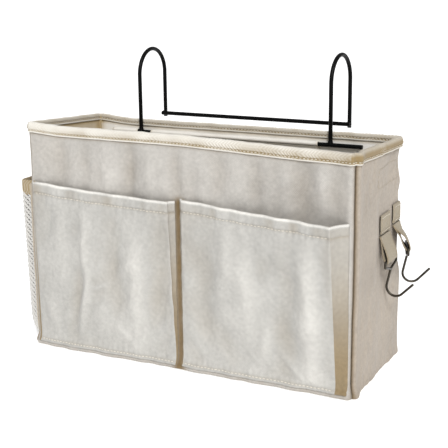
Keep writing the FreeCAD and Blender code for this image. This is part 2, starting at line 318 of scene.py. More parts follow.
def buildMesh(name, vertices, faces, uv=None, warm=None, material=None):
    # Mesh from arrays: vertices in millimetres, faces of four corners each, uv per face corner.
    mesh = bpy.data.meshes.new(name)
    mesh.vertices.add(len(vertices))
    mesh.vertices.foreach_set("co", (vertices * mm).astype(np.float32).ravel())
    mesh.loops.add(faces.size)
    mesh.loops.foreach_set("vertex_index", faces.astype(np.int32).ravel())
    mesh.polygons.add(len(faces))
    mesh.polygons.foreach_set("loop_start", (np.arange(len(faces)) * faces.shape[1]).astype(np.int32))
    mesh.update(calc_edges=True)
    mesh.polygons.foreach_set("use_smooth", np.ones(len(faces), bool))
    if uv is not None:
        layer = mesh.uv_layers.new(name="cloth")
        layer.data.foreach_set("uv", (uv * mm).astype(np.float32).ravel())
    shade = mesh.attributes.new("warm", "FLOAT", "POINT")  # 1 is the warm colour, -1 the pale one; it carries painted shade and painted highlight as well as the cloth's tone
    if warm is not None:
        shade.data.foreach_set("value", np.clip(warm, -1, 1).astype(np.float32).ravel())
    if material is not None:
        mesh.materials.append(material)
    mesh.validate()
    return linkNew(name, mesh)


def facesAway(points, index, centre):
    # True if the grid's faces point away from centre: mean of normal . (place - centre).
    a, b, c = points[index[:-1, :-1]], points[index[1:, :-1]], points[index[:-1, 1:]]
    normal = np.cross(b - a, c - a)
    return (normal * (a - np.array(centre, float))).sum() > 0


def gridPiece(name, points, material, uv, warm=None, wrapU=False, wrapV=False, centre=(0, 0, 110),
              inwards=False):
    # A surface over a grid of points; wrapU and wrapV join its ends. Faces point away from centre.
    rows, columns = points.shape[:2]
    index = openIndex(rows, columns)
    if wrapU:
        index = np.vstack([index, index[:1]])
    if wrapV:
        index = np.hstack([index, index[:, :1]])
    flat = points.reshape(-1, 3)
    corners = openIndex(*index.shape)
    if facesAway(flat, index, centre) == inwards:
        index = index[:, ::-1]
        corners = corners[:, ::-1]
    uvFlat = uv.reshape(-1, 2)[quads(corners).ravel()]
    return buildMesh(name, flat, quads(index), uvFlat, warm, material)


def orientClosed(obj):
    # Turns a closed shell's faces outwards: its signed volume must be positive.
    mesh = obj.data
    co = np.zeros(len(mesh.vertices) * 3)
    mesh.vertices.foreach_get("co", co)
    co = co.reshape(-1, 3)
    mesh.calc_loop_triangles()
    tri = np.zeros(len(mesh.loop_triangles) * 3, np.int32)
    mesh.loop_triangles.foreach_get("vertices", tri)
    a, b, c = (co[tri.reshape(-1, 3)[:, k]] for k in range(3))
    if (a * np.cross(b, c)).sum() < 0:
        mesh.flip_normals()


def closedPiece(name, points, material, uv, warm, wrapU=False):
    # A shell of closed sections, its faces turned by its own volume.
    piece = gridPiece(name, points, material, uv, warm, wrapU=wrapU, wrapV=True)
    orientClosed(piece)
    return piece


def gridOf(first, second):
    return np.meshgrid(first, second, indexing="ij")


def uvGrid(first, second):
    return np.stack(gridOf(first, second), -1)


def squared(wave, power):
    # sign(wave) * |wave|^power, which makes an ellipse's section squarer.
    return np.sign(wave) * np.abs(wave) ** power


def thicken(obj, thickness):
    solid = obj.modifiers.new("thickness", "SOLIDIFY")
    solid.thickness = thickness * mm
    solid.offset = -1.0
    solid.use_rim = True


def settle(obj, body, slot, *nodes):
    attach(obj, body)
    if nodes:
        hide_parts(*nodes)
    return obj


def lengthAlong(points):
    # Distance from a line's first point to each of its points.
    return np.concatenate([[0], np.linalg.norm(np.diff(points, axis=0), axis=1).cumsum()])


def unit(v):
    return v / np.maximum(np.linalg.norm(v, axis=-1, keepdims=True), 1e-9)


def tubes(name, lines, normals, radius, sides, material):
    # Round tubes along many lines at once: line + radius*(cos a * normal + sin a * side), ends closed.
    count, steps = lines.shape[:2]
    tangent = unit(np.gradient(lines, axis=1))
    side = unit(np.cross(tangent, normals))
    up = np.cross(side, tangent)
    angle = np.arange(sides) * 2 * np.pi / sides
    taper = np.ones(steps)
    taper[[0, -1]] = 0.05
    ring = np.cos(angle)[:, None] * up[:, :, None, :] + np.sin(angle)[:, None] * side[:, :, None, :]
    points = lines[:, :, None, :] + radius * taper[None, :, None, None] * ring
    index = np.arange(count * steps * sides).reshape(count, steps, sides)
    index = np.concatenate([index, index[:, :, :1]], 2)
    faces = np.stack([index[:, :-1, :-1], index[:, :-1, 1:], index[:, 1:, 1:], index[:, 1:, :-1]], -1)
    faces = faces.reshape(-1, 4)
    along = np.linalg.norm(np.diff(lines, axis=1), axis=-1).cumsum(1)
    along = np.concatenate([np.zeros((count, 1)), along], 1)[:, :, None] + 0 * index
    around = (np.arange(sides + 1) * 2 * np.pi * radius / sides)[None, None, :] + 0 * index
    uv = np.stack([around, along], -1)
    corners = np.stack([uv[:, :-1, :-1], uv[:, :-1, 1:], uv[:, 1:, 1:], uv[:, 1:, :-1]], -2)
    return buildMesh(name, points.reshape(-1, 3), faces, corners.reshape(-1, 2), None, material)


stitch = {"length": 2.7, "pitch": 3.7, "radius": 0.34, "rings": 5, "sides": 6}


def stitches(name, paths, material):
    # Thread capsules along each path: an ellipsoid of a few rings set on the path's tangent.
    # Each path is (points, normals), points close together.
    rings, sides = stitch["rings"], stitch["sides"]
    turn = np.linspace(-math.pi / 2, math.pi / 2, rings)
    spins = np.arange(sides) * 2 * np.pi / sides
    swell, spin = gridOf(turn, spins)
    reach = 0.04 + 0.96 * np.cos(swell)
    shape = np.stack([np.sin(swell) * stitch["length"] / 2, reach * np.cos(spin) * stitch["radius"],
                      reach * np.sin(spin) * stitch["radius"]], -1).reshape(-1, 3)
    index = openIndex(rings, sides)
    index = np.hstack([index, index[:, :1]])
    local = quads(index)[:, ::-1]
    verts, faces, used = [], [], 0
    for points, normals in paths:
        length = lengthAlong(points)
        count = max(int(length[-1] / stitch["pitch"]), 1)
        at = (np.arange(count) + 0.5) * length[-1] / count
        place, tangent, normal = (
            np.stack([np.interp(at, length, values[:, k]) for k in range(3)], -1)
            for values in (points, np.gradient(points, length, axis=0), normals)
        )
        tangent = unit(tangent)
        side = unit(np.cross(normal, tangent))
        normal = unit(np.cross(tangent, side))
        basis = np.stack([tangent, normal, side], 1)
        block = place[:, None, :] + np.einsum("vk,skd->svd", shape, basis)
        verts.append(block.reshape(-1, 3))
        faces.append((local[None] + (used + np.arange(count) * len(shape))[:, None, None]).reshape(-1, 4))
        used += count * len(shape)
    verts, faces = np.concatenate(verts), np.concatenate(faces)
    return buildMesh(name, verts, faces, np.zeros((faces.size, 2)), None, material)


def newGroup(name, inputs, outputs):
    group = bpy.data.node_groups.new(name, "ShaderNodeTree")
    for label, kind, default in inputs:
        socket = group.interface.new_socket(label, in_out="INPUT", socket_type=kind)
        if default is not None:
            socket.default_value = default
    for label, kind in outputs:
        group.interface.new_socket(label, in_out="OUTPUT", socket_type=kind)
    return group, group.nodes.new("NodeGroupInput"), group.nodes.new("NodeGroupOutput")


def put(tree, kind, links=None, **settings):
    # A node with its settings; links gives {input: socket or plain value}.
    node = tree.nodes.new(kind)
    for key, value in settings.items():
        setattr(node, key, value)
    for key, value in (links or {}).items():
        if isinstance(value, bpy.types.NodeSocket):
            tree.links.new(value, node.inputs[key])
        else:
            node.inputs[key].default_value = value
    return node


def maths(tree, operation, first, second=0.0, third=0.0, clamp=False):
    node = put(tree, "ShaderNodeMath", {0: first, 1: second, 2: third}, operation=operation, use_clamp=clamp)
    return node.outputs[0]


def noise(tree, place, scale, detail, **more):
    values = {"Vector": place, "Scale": scale, "Detail": detail, **more}
    return put(tree, "ShaderNodeTexNoise", values).outputs[0]


def spread(tree, value, fromLow, fromHigh, toLow, toHigh):
    return put(tree, "ShaderNodeMapRange", {0: value, 1: fromLow, 2: fromHigh, 3: toLow, 4: toHigh}).outputs[0]


def mixColours(tree, share, first, second):
    node = put(tree, "ShaderNodeMix", {0: share, 6: first, 7: second}, data_type="RGBA")
    return node.outputs[2]


def makeWeaveGroup():
    # Plain weave on the cloth map: sin(pi u/p) * sin(pi v/p), the threads made uneven by noise.
    group, into, out = newGroup(
        "plainWeave",
        [("Pitch", "NodeSocketFloat", 0.0007), ("Unevenness", "NodeSocketFloat", 0.3)],
        [("Height", "NodeSocketFloat"), ("Shade", "NodeSocketFloat")],
    )
    uv = put(group, "ShaderNodeUVMap", uv_map="cloth").outputs[0]
    wander = noise(group, uv, 260.0, 2.0)
    split = put(group, "ShaderNodeSeparateXYZ", {0: uv})
    rate = maths(group, "DIVIDE", math.pi, into.outputs["Pitch"])
    slack = maths(group, "MULTIPLY", wander, 5.0)
    across = maths(group, "SINE", maths(group, "MULTIPLY_ADD", split.outputs[0], rate, slack))
    along = maths(group, "SINE", maths(group, "MULTIPLY_ADD", split.outputs[1], rate, slack))
    cross = maths(group, "MULTIPLY_ADD", maths(group, "MULTIPLY", across, along), 0.5, 0.5)
    slub = noise(group, uv, 900.0, 3.0, Roughness=0.7)
    uneven = into.outputs["Unevenness"]
    mixed = put(group, "ShaderNodeMix", {0: uneven, 2: cross, 3: slub}, data_type="FLOAT").outputs[0]
    group.links.new(mixed, out.inputs["Height"])
    group.links.new(spread(group, mixed, 0.2, 0.8, 0.86, 1.06), out.inputs["Shade"])
    return group


def makeMottleGroup():
    # Slow unevenness of dye and wear over a piece: noise at two sizes on its own coordinates.
    group, into, out = newGroup(
        "clothMottle",
        [("Size", "NodeSocketFloat", 40.0), ("Strength", "NodeSocketFloat", 0.06)],
        [("Shade", "NodeSocketFloat"), ("Warmth", "NodeSocketFloat")],
    )
    place = put(group, "ShaderNodeTexCoord").outputs["Object"]
    broad = noise(group, place, into.outputs["Size"], 3.0)
    fine = noise(group, place, maths(group, "MULTIPLY", into.outputs["Size"], 14.0), 2.0)
    both = maths(group, "ADD", broad, fine)
    away = maths(group, "SUBTRACT", both, 1.0)
    shade = maths(group, "MULTIPLY_ADD", away, into.outputs["Strength"], 1.0)
    group.links.new(shade, out.inputs["Shade"])
    group.links.new(spread(group, broad, 0.5, 0.85, 0.0, 1.0), out.inputs["Warmth"])
    return group


def makeWearGroup():
    # Worn and cloudy metal finish: noise in patches and fine streaks.
    group, into, out = newGroup(
        "metalWear",
        [("Size", "NodeSocketFloat", 120.0)],
        [("Patch", "NodeSocketFloat"), ("Grain", "NodeSocketFloat")],
    )
    place = put(group, "ShaderNodeTexCoord").outputs["Object"]
    size = into.outputs["Size"]
    group.links.new(noise(group, place, size, 4.0), out.inputs["Patch"])
    group.links.new(noise(group, place, maths(group, "MULTIPLY", size, 25.0), 2.0), out.inputs["Grain"])
    return group


weaveGroup = makeWeaveGroup()
mottleGroup = makeMottleGroup()
wearGroup = makeWearGroup()


def useGroup(tree, group, **values):
    node = tree.nodes.new("ShaderNodeGroup")
    node.node_tree = group
    for key, value in values.items():
        node.inputs[key].default_value = value
    return node


def multiplyColour(tree, colour, shade):
    node = put(tree, "ShaderNodeMix", {0: 1.0, 6: colour}, data_type="RGBA", blend_type="MULTIPLY")
    grey = put(tree, "ShaderNodeCombineColor", {0: shade, 1: shade, 2: shade})
    tree.links.new(grey.outputs[0], node.inputs[7])
    return node.outputs[2]


def linear(rgb):
    # sRGB 0-255 to linear, with alpha 1.
    value = [c / 255 for c in rgb]
    return [c / 12.92 if c <= 0.04045 else ((c + 0.055) / 1.055) ** 2.4 for c in value] + [1.0]


def newMaterial(name, values):
    # A material with plain values on its shader's own sockets; returns material, node tree and shader.
    material = bpy.data.materials.new(name)
    material.use_nodes = True
    shader = material.node_tree.nodes["Principled BSDF"]
    for key, value in values.items():
        shader.inputs[key].default_value = value
    return material, material.node_tree, shader


def clothMaterial(name, look):
    # Woven cloth: base colour to warm or pale colour by the piece's warm attribute, which paints shade and
    # highlight, and by slow mottling.
    values = {"Roughness": look["roughness"], "Sheen Weight": look["sheen"], "Sheen Roughness": 0.5,
              "Specular IOR Level": 0.2}
    material, tree, shader = newMaterial(name, values)
    weave = useGroup(tree, weaveGroup, Pitch=look["pitch"] * mm, Unevenness=look["uneven"])
    mottle = useGroup(tree, mottleGroup, Size=look["mottleSize"], Strength=look["mottle"])
    warm = put(tree, "ShaderNodeAttribute", attribute_name="warm").outputs["Fac"]
    amount = maths(tree, "MULTIPLY_ADD", mottle.outputs["Warmth"], look["warmPatches"], warm, clamp=True)
    colour = mixColours(tree, amount, linear(look["colour"]), linear(look["warm"]))
    # where warm is negative the pale colour paints highlight
    paintedHighlight = maths(tree, "MULTIPLY", warm, -1.0, clamp=True)
    colour = mixColours(tree, paintedHighlight, colour, linear(look["pale"]))
    shade = maths(tree, "MULTIPLY", weave.outputs["Shade"], mottle.outputs["Shade"])
    tree.links.new(multiplyColour(tree, colour, shade), shader.inputs["Base Color"])
    bump = put(tree, "ShaderNodeBump", {"Height": weave.outputs["Height"], "Strength": look["bump"],
                                        "Distance": look["pitch"] * mm * 0.5})
    tree.links.new(bump.outputs[0], shader.inputs["Normal"])
    return material


def metalMaterial(name, look):
    # Wire finish: dark and light patches, duller where lighter, with a fine grain in its bump.
    values = {"Metallic": look["metallic"], "Specular IOR Level": look["specular"]}
    material, tree, shader = newMaterial(name, values)
    wear = useGroup(tree, wearGroup, Size=look["size"])
    patch = wear.outputs["Patch"]
    colour = mixColours(tree, patch, linear(look["dark"]), linear(look["light"]))
    tree.links.new(colour, shader.inputs["Base Color"])
    tree.links.new(spread(tree, patch, 0.3, 0.7, *look["rough"]), shader.inputs["Roughness"])
    bump = put(tree, "ShaderNodeBump", {"Height": wear.outputs["Grain"], "Strength": look["bump"],
                                        "Distance": 0.0002})
    tree.links.new(bump.outputs[0], shader.inputs["Normal"])
    return material


clothBasics = {
    # the colour of painted highlight
    "pale": (242, 239, 232),
    "pitch": 0.8,          # of the weave, in millimetres
    "uneven": 0.45,
    "bump": 0.5,
    "mottleSize": 20.0,
    "mottle": 0.1,
    "warmPatches": 0.1,
    "roughness": 0.95,
    "sheen": 0.1,
}
clothLooks = {
    "canvasCloth": {"colour": (184, 180, 174), "warm": (122, 103, 74), "mottle": 0.34, "sheen": 0.12},
    "pocketCloth": {"colour": (181, 179, 174), "warm": (140, 122, 92), "mottle": 0.32, "warmPatches": 0.07,
                    "sheen": 0.12},
    # the short walls' cloth is the canvas made darker and warmer: painted shade
    "shadedSideCloth": {"colour": (170, 160, 148), "warm": (122, 103, 74), "mottleSize": 26.0, "mottle": 0.40,
                  "warmPatches": 0.12, "sheen": 0.12},
    "liningCloth": {"colour": (238, 235, 229), "warm": (178, 158, 122), "pitch": 0.6, "uneven": 0.4,
                    "bump": 0.4, "mottle": 0.07, "warmPatches": 0.15},
    "herringboneTape": {"colour": (232, 228, 219), "warm": (150, 130, 94), "pitch": 1.1, "uneven": 0.35,
                        "bump": 0.6, "mottleSize": 60.0, "mottle": 0.14, "warmPatches": 0.25, "sheen": 0.15},
    "webbingTape": {"colour": (168, 159, 142), "warm": (132, 112, 80), "pitch": 1.0, "uneven": 0.3, "bump": 0.7,
                    "mottleSize": 70.0, "mottle": 0.16, "warmPatches": 0.2},
    "netThread": {"colour": (202, 200, 196), "warm": (180, 172, 156), "pitch": 0.6, "uneven": 0.3,
                  "mottleSize": 80.0, "roughness": 0.9},
    "sewingThread": {"colour": (222, 216, 202), "warm": (200, 188, 160), "pitch": 0.4, "uneven": 0.2,
                     "bump": 0.4, "mottleSize": 90.0, "roughness": 0.8},
    "greyBoard": {"colour": (196, 192, 182), "warm": (176, 168, 150), "pitch": 0.5, "uneven": 0.9, "bump": 0.2,
                  "mottleSize": 60.0, "roughness": 0.9, "sheen": 0.0},
}
metalLooks = {
    "satinBlackWire": {"dark": (2, 2, 2), "light": (6, 6, 6), "rough": (0.4, 0.5), "metallic": 0.0,
                       "specular": 0.12, "bump": 0.25, "size": 90.0},
    "darkNickel": {"dark": (46, 43, 38), "light": (92, 86, 76), "rough": (0.24, 0.42), "metallic": 0.9,
                   "specular": 0.5, "bump": 0.2, "size": 160.0},
}
cloth = {name: clothMaterial(name, {**clothBasics, **look}) for name, look in clothLooks.items()}
metal = {name: metalMaterial(name, look) for name, look in metalLooks.items()}
print("materials made")

walls = {
    "columns": {"front": 230, "back": 230, "right": 120, "left": 120},
    "rows": 150,
    "turnedUnder": 9.0,    # cloth that turns under the base
    "rimGap": 1.2,         # the cloth's edge lies this far under the tape's crown
    "tapeEdge": 9.6,       # and the painted shadow line under the tape this far below the edge
    "clear": 0.15,         # of the ground
}
nodeStart = {"front": "front_", "back": "back_", "left": "left_side_", "right": "right_side_"}


def outerCanvas(side):
    # Over (run, q): q climbs the wall; height = softRamp(q) and inset = softRamp(-q) round the lower edge.
    end = halfRun(side)
    run, share = gridOf(np.linspace(-end, end, walls["columns"][side]), np.linspace(0, 1, walls["rows"]))
    top = rimOver(side, run) - walls["rimGap"]
    q = -walls["turnedUnder"] + share * (top + walls["turnedUnder"])
    height = softRamp(q, bag["hemRound"]) + walls["clear"]
    inset = softRamp(-q, bag["hemRound"])
    points = wallPoint(side, run, height, -inset)
    # darker in the corner seam's groove: painted shade; also darker along the lower edge
    edge = hill(end - np.abs(run), 0, cornerSeam["width"])
    low = hill(height, 0, 5)
    # painted shadow: a darker line just under the tape
    high = hill(height, top - walls["tapeEdge"], 1.6)
    warm = edge + 0.22 * low + 0.5 * high
    if side == "right":
        warm = warm + 0.14 * smooth(120, 0, height) * smooth(-20, -60, run)
    if side == "front":
        # painted shade in the gap between the two pockets; painted highlight on the fold ridges and painted
        # shade in their hollows; darker towards the right end
        centre = hill(run, -2, 6) * smooth(178, 168, height)
        warm = warm - 0.05 * wallSwell(side, run, np.clip(height, 30, 215))
        warm = warm + 0.95 * centre + 0.14 * smooth(150, 172, run) + 0.05 * smooth(20, 140, run)
    # the short walls take the darker copy of the canvas, as painted shade
    look = "canvasCloth" if side in ("front", "back") else "shadedSideCloth"
    piece = gridPiece(side + "_canvas", points, cloth[look], np.stack([run, q], -1), warm)
    thicken(piece, bag["canvas"] * 0.9)
    settle(piece, "bag", "canvas", nodeStart[side] + "panel")


for side in outward:
    outerCanvas(side)


def plateGrid(halfX, halfY, radius, columns, rows):
    # Rectangle grid whose corners are pulled in to the radius: places past the corner's arc go onto it.
    x, y = gridOf(np.linspace(-halfX, halfX, columns), np.linspace(-halfY, halfY, rows))
    pastX = np.clip(np.abs(x) - (halfX - radius), 0, None)
    pastY = np.clip(np.abs(y) - (halfY - radius), 0, None)
    reach = np.maximum(np.maximum(pastX, pastY), 1e-9)
    length = np.maximum(np.hypot(pastX, pastY), 1e-9)
    pull = np.where((pastX > 0) & (pastY > 0), reach / length, 1.0)
    x = np.sign(x) * (np.clip(np.abs(x), 0, halfX - radius) + pastX * pull)
    y = np.sign(y) * (np.clip(np.abs(y), 0, halfY - radius) + pastY * pull)
    return x, y


plates = {  # the base's layers; height is of the side that its grid makes, thick goes away from it
    "base_canvas": {"inset": 1.0, "height": 0.35, "thick": 0.3, "ripples": 0.0, "facesUp": False,
                    "look": "canvasCloth", "slot": "canvas", "node": "base_panel"},
    "base_stiffener": {"inset": 3.2, "height": 3.3, "thick": 2.3, "ripples": 0.0, "facesUp": True,
                       "look": "greyBoard", "slot": "board", "node": "base_board"},
    "base_lining_cloth": {"inset": 3.6, "height": 4.3, "thick": 0.6, "ripples": 0.35, "facesUp": True,
                          "look": "liningCloth", "slot": "lining", "node": "base_lining"},
}


def basePlate(name, plate):
    # Flat sheet over (x, y); z = height + ripples * (1 + ripple), which fades out at the long edges.
    halfX, halfY = bag["halfWidth"] - plate["inset"], bag["halfDepth"] - plate["inset"]
    x, y = plateGrid(halfX, halfY, bag["radius"], 120, 60)
    z = plate["height"] + plate["ripples"] * (1 + ripple(x, y, 60, 60, 91)) * smooth(0, 12, halfY - np.abs(y))
    centre = (0, 0, -900 if plate["facesUp"] else 900)
    uv = np.stack([x, y], -1)
    piece = gridPiece(name, np.stack([x, y, z], -1), cloth[plate["look"]], uv, centre=centre)
    thicken(piece, plate["thick"])
    settle(piece, "bag", plate["slot"], plate["node"])


for name, plate in plates.items():
    basePlate(name, plate)
print("outer canvas and base made")

inner = {
    "boardOffset": 1.15,
    "boardGap": 4.0,       # a board stops this far from the ground and from the rim
    "boardColumns": 60,
    "boardRows": 50,
    "liningOffset": 2.75,
    "liningFoot": 4.4,
    "rows": 90,
    "columns": {"front": 170, "back": 170, "right": 80, "left": 80},
}


def wallBoard(side):
    # The wall's own shape over (run, height) between its corners, set inwards.
    straight = bag["cornerX"] if side in ("front", "back") else bag["cornerY"]
    gap = inner["boardGap"]
    runs = np.linspace(-straight, straight, inner["boardColumns"])
    run, share = gridOf(runs, np.linspace(0, 1, inner["boardRows"]))
    height = gap + share * (rimOver(side, run) - gap - gap)
    points = wallPoint(side, run, height, -inner["boardOffset"])
    piece = gridPiece(side + "_stiffener", points, cloth["greyBoard"], np.stack([run, height], -1))
    thicken(piece, bag["board"] * 0.85)
    settle(piece, "bag", "board", nodeStart[side] + "board")


def wallLining(side):
    # The inner cloth: the wall's own shape set inwards, with looser small ripples.
    end = halfRun(side) - 0.6
    run, share = gridOf(np.linspace(-end, end, inner["columns"][side]), np.linspace(0, 1, inner["rows"]))
    top = rimOver(side, run) - walls["rimGap"]
    height = inner["liningFoot"] + share * (top - inner["liningFoot"])
    seed = list(outward).index(side) + 70
    loose = 0.35 * (1 + ripple(run, height, 34, 60, seed)) * smooth(4, 40, height) * smooth(226, 190, height)
    points = wallPoint(side, run, height, -inner["liningOffset"] - loose)
    # warm paints shade: darker into the corners, deeper down, in the band under the rim's tape, and over the
    # whole left wall
    edge = hill(end - np.abs(run), 0, 7)
    deep = smooth(200, 60, height)
    warm = 0.8 * edge + 0.3 * deep + 0.5 * smooth(top - 10, top - 7, height) + 0.8 * (side == "left")
    uv = np.stack([run, height], -1)
    piece = gridPiece(side + "_lining_cloth", points, cloth["liningCloth"], uv, warm, inwards=True)
    thicken(piece, bag["lining"] * 0.8)
    settle(piece, "bag", "lining", nodeStart[side] + "lining")


for side in outward:
    wallBoard(side)
    wallLining(side)
print("boards and lining made")

tape = {
    "width": 10.6,          # down the outside
    "widthGain": 0.7,       # and more towards the right of the front
    "innerWidth": 7.0,
    "proud": 0.75,          # of the canvas at its edges
    "plump": 0.95,          # and more than that in between
    "ribPitch": 3.4,
    "ribHeight": 0.3,
    "turnEvery": 7.4,       # the herringbone's slant changes
    "stitchUp": 2.7,        # stitch groove above the tape's edge
    "lip": 2.0,             # of lip below the groove, kept pale as a painted highlight
    "step": 0.72,
    "across": 46,
    "under": 6,
}


def rimFrames(step):
    # Place, outward normal, rim height and distance round, at every step of the rim, side after side.
    rows, start = [], 0.0
    for side in outward:
        end = halfRun(side)
        run = np.linspace(-end, end, int(2 * end / step), endpoint=False)
        x, y, nx, ny = outline(side, run)
        top = rimHeight(x, y)
        level = np.maximum(wallSwell(side, run, top - 6), -0.6)
        rows.append(np.stack([x + nx * level, y + ny * level, nx, ny, top, start + run + end], -1))
        start += 2 * end
    return np.concatenate(rows), start


def tapeWidth(x, y):
    return tape["width"] + tape["widthGain"] * smooth(-30, 125, x) * (y < 0)


def tapeSection(share, outerWidth):
    # U-shaped section over a wall: share 0..1 runs from the outer edge over the crown to the inner edge.
    # Straight sides joined by a half ellipse; returns outwards and height from the crown.
    innerWidth = tape["innerWidth"]
    half = wall / 2 + tape["proud"]
    arc = math.pi * half * 0.8
    total = outerWidth + arc + innerWidth - 2 * half * 0.7
    far = share * total
    upTo = outerWidth - half * 0.7
    angle = np.clip((far - upTo) / arc, 0, 1) * math.pi
    out = -wall / 2 + half * np.cos(angle)
    height = np.where(
        far < upTo,
        far - outerWidth,
        np.where(far > upTo + arc, -(far - upTo - arc) - half * 0.7, -half * 0.7 + half * 0.7 * np.sin(angle)),
    )
    outerPart = np.clip(far / upTo, 0, 1)
    innerPart = np.clip((total - far) / (total - upTo - arc), 0, 1)
    out = out + tape["plump"] * np.sin(math.pi * outerPart) ** 0.8 * (far < upTo)
    out = out - 0.25 * np.sin(math.pi * innerPart) * (far > upTo + arc)
    return out, height, far


def boundRim():
    # The section carried round the rim, with ribs of height cos(2 pi (far +- along) / pitch) whose slant turns
    # every few millimetres, a stitched groove near each edge, and a plain underside.
    frames, total = rimFrames(tape["step"])
    count = len(frames)
    position, across = gridOf(np.arange(count), np.linspace(0, 1, tape["across"]))
    x, y, nx, ny, top, far = np.moveaxis(frames[position], -1, 0)
    out, drop, along = tapeSection(across, tapeWidth(x, y))
    wave = 0.25 * ripple(far, 0 * far, 45, 45, 31) + 0.12 * ripple(far, 0 * far, 14, 14, 32)
    crown = smooth(-5, 0, drop)
    tilt = np.where((along // tape["turnEvery"]) % 2 < 1, 1.0, -1.0)
    worn = 0.55 + 0.45 * ripple(far, 0 * far, 26, 26, 33)
    wander = 1.3 * ripple(far, 0 * far, 19, 19, 34)
    rib = 0.5 + 0.5 * np.cos(2 * np.pi * (far + wander + tilt * along) / tape["ribPitch"])
    rib = rib * np.clip(worn, 0.1, 1)
    fade = np.abs(np.sin(np.pi * along / tape["turnEvery"])) ** 0.35
    away = np.minimum(across, 1 - across) * along.max()
    groove = 0.9 * hill(away, tape["stitchUp"], 0.9)
    lift = tape["ribHeight"] * rib * fade * smooth(0, 1.5, away) - groove
    side = np.where(drop > -1.2, 0.0, np.where(out > -wall / 2, 1.0, -1.0))
    out = out + lift * side
    height = top + drop + wave * (0.3 + 0.7 * crown) + lift * crown * (side == 0)
    outer = np.stack([x + nx * out, y + ny * out, height], -1)
    # painted shade: the tape turns tan from left to right along the front and over the short sides; painted
    # highlight keeps the crown and the lip pale, the crown less so towards the right
    paintedTapeShade = 0.12 + 0.26 * smooth(-10, 130, outer[..., 0]) + 0.14 * smooth(150, 172, outer[..., 0])
    paintedTapeShade = np.where(np.abs(outer[..., 0]) > bag["halfWidth"] - 3, 1.05, paintedTapeShade)
    patchy = 0.07 * ripple(far, along, 60, 12, 35)
    # the stitched groove is darker as painted shade, and the tape is darker between its ribs and in random
    # patches
    warm = paintedTapeShade + patchy + 0.9 * (0.4 - rib) * fade + 0.7 * hill(away, tape["stitchUp"], 1.1)
    lip = smooth(tape["lip"], tape["lip"] - 0.9, away)
    pale = np.maximum(crown * (1 - 0.45 * smooth(120, 170, outer[..., 0])), lip)
    warm = np.clip(warm, 0, 1) * (1 - 0.85 * pale)
    # the tape's inner side is kept darker: painted shade
    inside = drop * (out < -wall / 2) < -0.4
    warm = np.where(inside, np.maximum(warm, 0.42 * smooth(0.9, 2.0, away)), warm)
    # the underside lies closer to the wall's middle and a little lower
    position, across = gridOf(np.arange(count), np.linspace(1, 0, tape["under"] + 2)[1:-1])
    x, y, nx, ny, top, _ = np.moveaxis(frames[position], -1, 0)
    out, drop, _ = tapeSection(across, tapeWidth(x, y))
    middle = -wall / 2
    out = middle + (out - middle) * 0.72
    under = np.stack([x + nx * out, y + ny * out, top + drop * 0.93 - 0.9], -1)
    points = np.concatenate([outer, under], 1)
    uv = uvGrid(np.append(frames[:, 5], total), np.linspace(0, 62, points.shape[1] + 1))
    warm = np.concatenate([warm, np.ones((count, tape["under"]))], 1)
    piece = closedPiece("rim_tape", points, cloth["herringboneTape"], uv, warm, wrapU=True)
    settle(piece, "bag", "binding", "rim_binding")
    return frames


rimLine = boundRim()


def rimStitchPath(inside):
    x, y, nx, ny, top, _ = np.vstack([rimLine, rimLine[:1]]).T
    sign = -1 if inside else 1
    out = -wall / 2 + sign * (wall / 2 + tape["proud"] + (0.1 if inside else 0.25))
    drop = (tape["innerWidth"] if inside else tapeWidth(x, y)) - tape["stitchUp"]
    points = np.stack([x + nx * out, y + ny * out, top - drop], -1)
    normals = np.stack([sign * nx, sign * ny, 0 * nx], -1)
    return points, normals


piece = stitches("rim_stitching", [rimStitchPath(False), rimStitchPath(True)], cloth["sewingThread"])
settle(piece, "bag", "binding")
print("bound rim made")

pockets = {
    "bottom": 8.0,
    "top": nodeBox("left_pocket_face")[1][2],
    "rest": 1.3,            # cloth off the wall at its stitched lower edge
    "hem": 10.5,
    "hemRoll": 1.15,
    "faceColumns": 190,
    "gussetColumns": 26,
    "faceRows": 126,
    "hemRows": 24,
    "rollRows": 8,
    "insideRows": 12,
    "waves": ((1.2, 60, 80, 0), (0.5, 30, 44, 7), (0.26, 15, 22, 5)),
    "left": {
        "seams": (-172.0, -5.0), "foldTop": (-169.5, -10.0), "foldLow": (-170.0, -5.8),
        "depth": (3.6, 7.5),    # of the mouth off the wall, at its left and right end
        "gape": 1.0,
        "mouth": (5.6, -0.6),   # height over the frame's line at each end
        "folds": [
            ((-107, 112), 1, 46, 6, 2.3), ((-112, 52), 14, 30, 5, 1.7), ((-120, 56), 14, 30, 6, -1.6),
            ((-138, 110), 4, 60, 13, 1.6), ((-46, 80), 2, 56, 11, 2.4), ((-74, 100), -2, 50, 11, -2.0),
            ((-24, 70), 3, 50, 9, -1.2), ((-26, 30), 30, 22, 6, 1.0), ((-150, 30), -24, 24, 6, 1.0),
            ((-92, 74), 70, 10, 3, 1.2), ((-60, 24), -50, 16, 4, 0.9),
        ],
        "seed": 11,
    },
    "right": {
        "seams": (0.5, 174.0), "foldTop": (4.5, 162.5), "foldLow": (1.5, 162.0),
        "depth": (6.0, 23.5),
        "gape": 1.5,
        "mouth": (2.6, -3.4),
        "folds": [
            ((140, 80), 0, 90, 12, 3.4), ((112, 60), 4, 60, 12, -1.8), ((70, 96), -4, 60, 16, 2.0),
            ((30, 80), 3, 60, 14, -1.4), ((92, 40), 14, 34, 8, 1.5), ((22, 30), -22, 26, 7, 1.2),
            ((52, 120), 5, 34, 8, 1.2), ((120, 24), -40, 20, 5, 1.0),
        ],
        "seed": 12,
    },
}


def rounded(path, width):
    # Softens the corners of a grid of sections: running mean along its first axis, ends kept.
    kernel = np.exp(-(np.arange(-4, 5) / width) ** 2)
    kernel /= kernel.sum()
    padded = np.concatenate([np.repeat(path[:1], 4, 0), path, np.repeat(path[-1:], 4, 0)])
    out = sum(k * padded[i:i + len(path)] for i, k in enumerate(kernel))
    out[0], out[-1] = path[0], path[-1]
    return out


